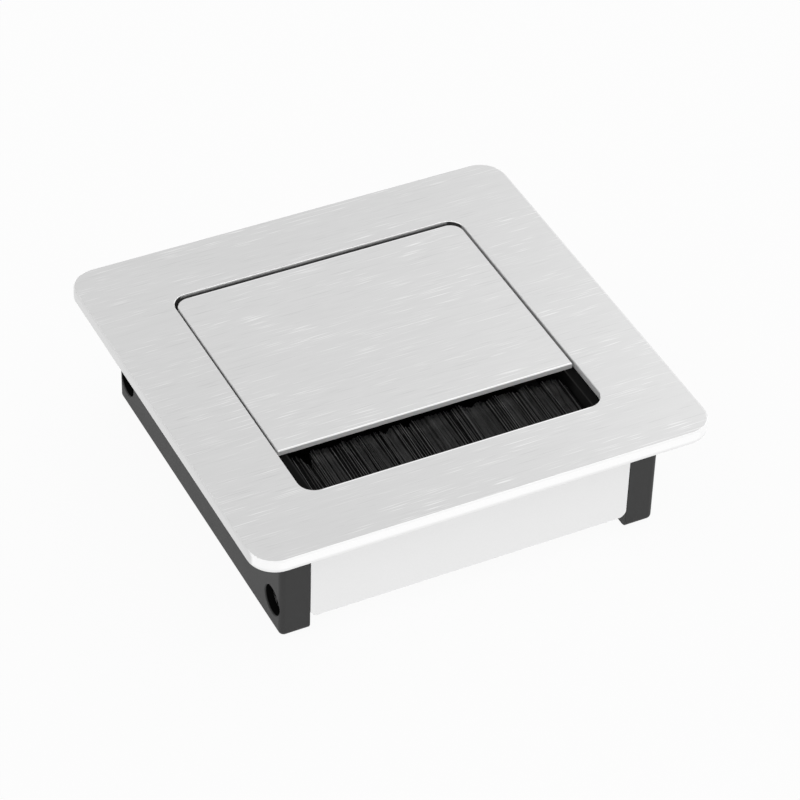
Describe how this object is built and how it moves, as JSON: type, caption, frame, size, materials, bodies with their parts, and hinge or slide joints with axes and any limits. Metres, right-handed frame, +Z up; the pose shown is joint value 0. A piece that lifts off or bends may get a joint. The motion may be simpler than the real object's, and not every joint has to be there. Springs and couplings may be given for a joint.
{
  "type": "desk cable grommet",
  "caption": "Square drop-in desk cable grommet: brushed aluminium frame with a flip-up lid, a strip brush along the cable slot and moulded end brackets below the plate.",
  "frame": {"origin": "middle of the footprint, on the surface that the brackets' feet stand on", "axes": "+Z up through the plate, +X along the front edge, +Y from the brush towards the hinge"},
  "size_m": [0.085, 0.083, 0.0244],
  "materials": {
    "frame_aluminium": "fine brushed along the width, clear anodised",
    "bracket_plastic": "moulded black, low sheen",
    "screw_steel": "black zinc",
    "lid_aluminium": "fine brushed along the width, clear anodised",
    "rod_steel": "bright drawn",
    "channel_steel": "zinc plated strip",
    "wire_steel": "bright drawn",
    "bristle_nylon": "black nylon filament"
  },
  "bodies": {
    "frame": {"top_frame": "frame_aluminium", "left_bracket": "bracket_plastic", "right_bracket": "bracket_plastic", "bracket_screws": "screw_steel", "brush_channel": "channel_steel", "brush_wire": "wire_steel", "brush_bristles": "bristle_nylon"},
    "lid": {"lid": "lid_aluminium", "hinge_rod": "rod_steel"}
  },
  "joints": [
    {"name": "lid_hinge", "type": "hinge", "parent": "frame", "child": "lid", "pos_m": [0, 0.02025, 0.0208], "axis": [-1, 0, 0], "range_deg": [0, 110]}
  ]
}
